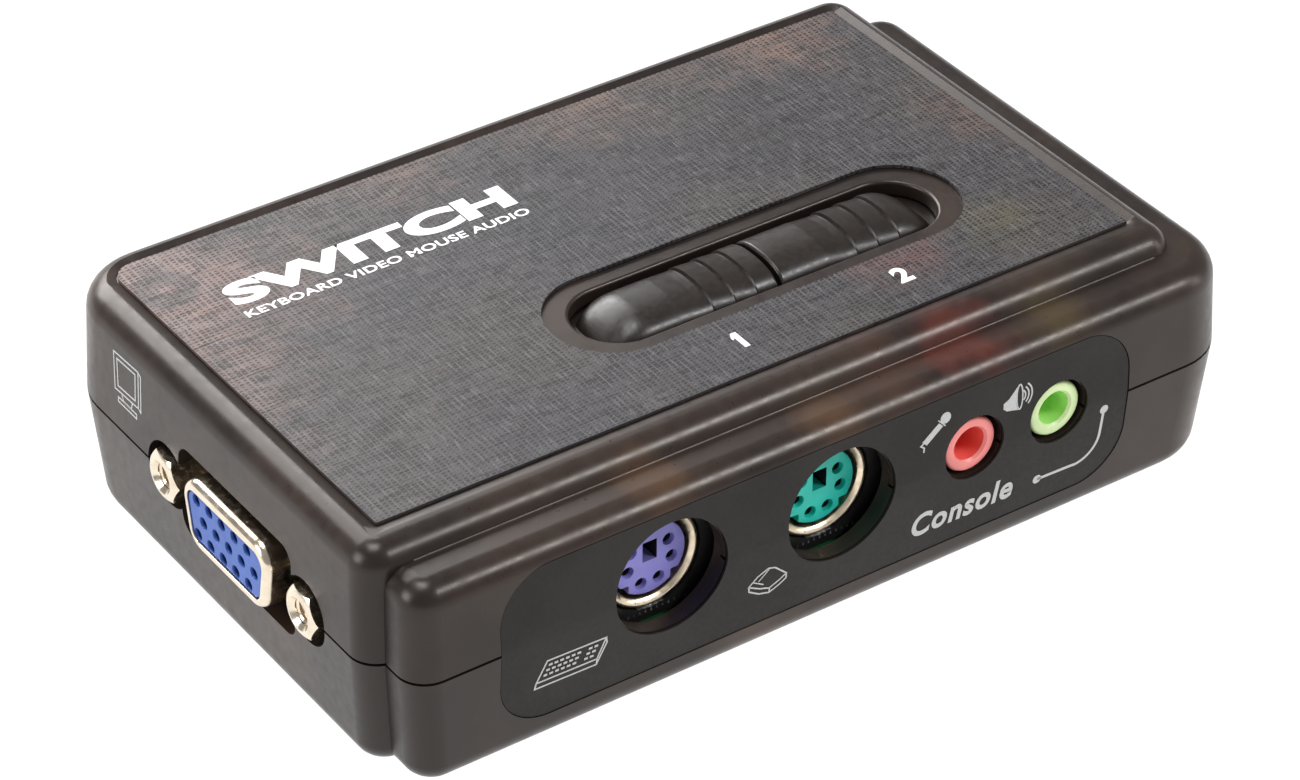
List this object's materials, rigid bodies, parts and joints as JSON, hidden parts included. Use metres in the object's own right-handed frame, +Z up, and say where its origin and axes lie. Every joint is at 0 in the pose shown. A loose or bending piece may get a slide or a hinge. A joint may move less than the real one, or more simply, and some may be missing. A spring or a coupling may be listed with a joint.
{
  "type": "kvm switch",
  "caption": "Small desktop keyboard, video and mouse switch with audio, in a smoked translucent two-part case with two push keys on top and sockets on its sides.",
  "frame": {"origin": "on the resting plane, under the centre of the outer box", "axes": "+X along the long front face to the right, +Y from the front face to the back, +Z up"},
  "size_m": [0.099, 0.0626, 0.0266],
  "materials": {
    "smoked_case": "smoked translucent styrene, satin gloss",
    "overlay": "embossed linen-weave film",
    "label": "matt printed film",
    "key": "satin moulded plastic",
    "blue_plastic": "moulded",
    "purple_plastic": "moulded",
    "green_plastic": "moulded",
    "pink_plastic": "moulded",
    "lime_plastic": "moulded",
    "black_plastic": "moulded",
    "nickel": "nickel plated",
    "steel": "zinc plated",
    "rubber": "matt",
    "board": "solder mask",
    "lamp": "tinted lens"
  },
  "bodies": {
    "case": {"upper_shell": "smoked_case", "lower_shell": "smoked_case", "top_overlay": "overlay", "front_label": "label", "circuit_board": "board", "tact_switch_1_body": "black_plastic", "port_1_led": "lamp", "tact_switch_2_body": "black_plastic", "port_2_led": "lamp", "monitor_port_shell": "nickel", "monitor_port_jackscrew_left": "nickel", "monitor_port_jackscrew_right": "nickel", "monitor_port_insulator": "blue_plastic", "computer_port_1_shell": "nickel", "computer_port_1_jackscrew_left": "nickel", "computer_port_1_jackscrew_right": "nickel", "computer_port_1_insulator": "blue_plastic", "computer_port_2_shell": "nickel", "computer_port_2_jackscrew_left": "nickel", "computer_port_2_jackscrew_right": "nickel", "computer_port_2_insulator": "blue_plastic", "keyboard_socket_insert": "purple_plastic", "mouse_socket_insert": "green_plastic", "keyboard_socket_housing": "black_plastic", "keyboard_socket_shield": "nickel", "mouse_socket_housing": "black_plastic", "mouse_socket_shield": "nickel", "console_microphone_jack": "pink_plastic", "console_speaker_jack": "lime_plastic", "console_microphone_jack_contact": "nickel", "console_speaker_jack_contact": "nickel", "computer_1_microphone_jack": "pink_plastic", "computer_1_speaker_jack": "lime_plastic", "computer_1_microphone_jack_contact": "nickel", "computer_1_speaker_jack_contact": "nickel", "computer_2_microphone_jack": "pink_plastic", "computer_2_speaker_jack": "lime_plastic", "computer_2_microphone_jack_contact": "nickel", "computer_2_speaker_jack_contact": "nickel", "case_screw_1": "steel", "rubber_foot_1": "rubber", "case_screw_2": "steel", "rubber_foot_2": "rubber", "case_screw_3": "steel", "rubber_foot_3": "rubber", "case_screw_4": "steel", "rubber_foot_4": "rubber", "controller_chip": "black_plastic", "video_switch_chip": "black_plastic", "filter_capacitor": "black_plastic", "crystal": "steel"},
    "key_1": {"push_key_1": "key"},
    "key_2": {"push_key_2": "key"},
    "plunger_1": {"tact_switch_1_plunger": "black_plastic"},
    "plunger_2": {"tact_switch_2_plunger": "black_plastic"}
  },
  "joints": [
    {"name": "push_key_1_press", "type": "slide", "parent": "case", "child": "key_1", "axis": [0, 0, -1], "range_m": [0, 0.0006], "stiffness_N_per_m": 2500, "springref_m": -0.0001},
    {"name": "push_key_2_press", "type": "slide", "parent": "case", "child": "key_2", "axis": [0, 0, -1], "range_m": [0, 0.0006], "stiffness_N_per_m": 2500, "springref_m": -0.0001},
    {"name": "plunger_1_press", "type": "slide", "parent": "case", "child": "plunger_1", "axis": [0, 0, -1], "range_m": [0, 0.0006]},
    {"name": "plunger_2_press", "type": "slide", "parent": "case", "child": "plunger_2", "axis": [0, 0, -1], "range_m": [0, 0.0006]}
  ],
  "couplings": [
    {"joint": "plunger_1_press", "follows": "push_key_1_press", "ratio": 1},
    {"joint": "plunger_2_press", "follows": "push_key_2_press", "ratio": 1}
  ]
}
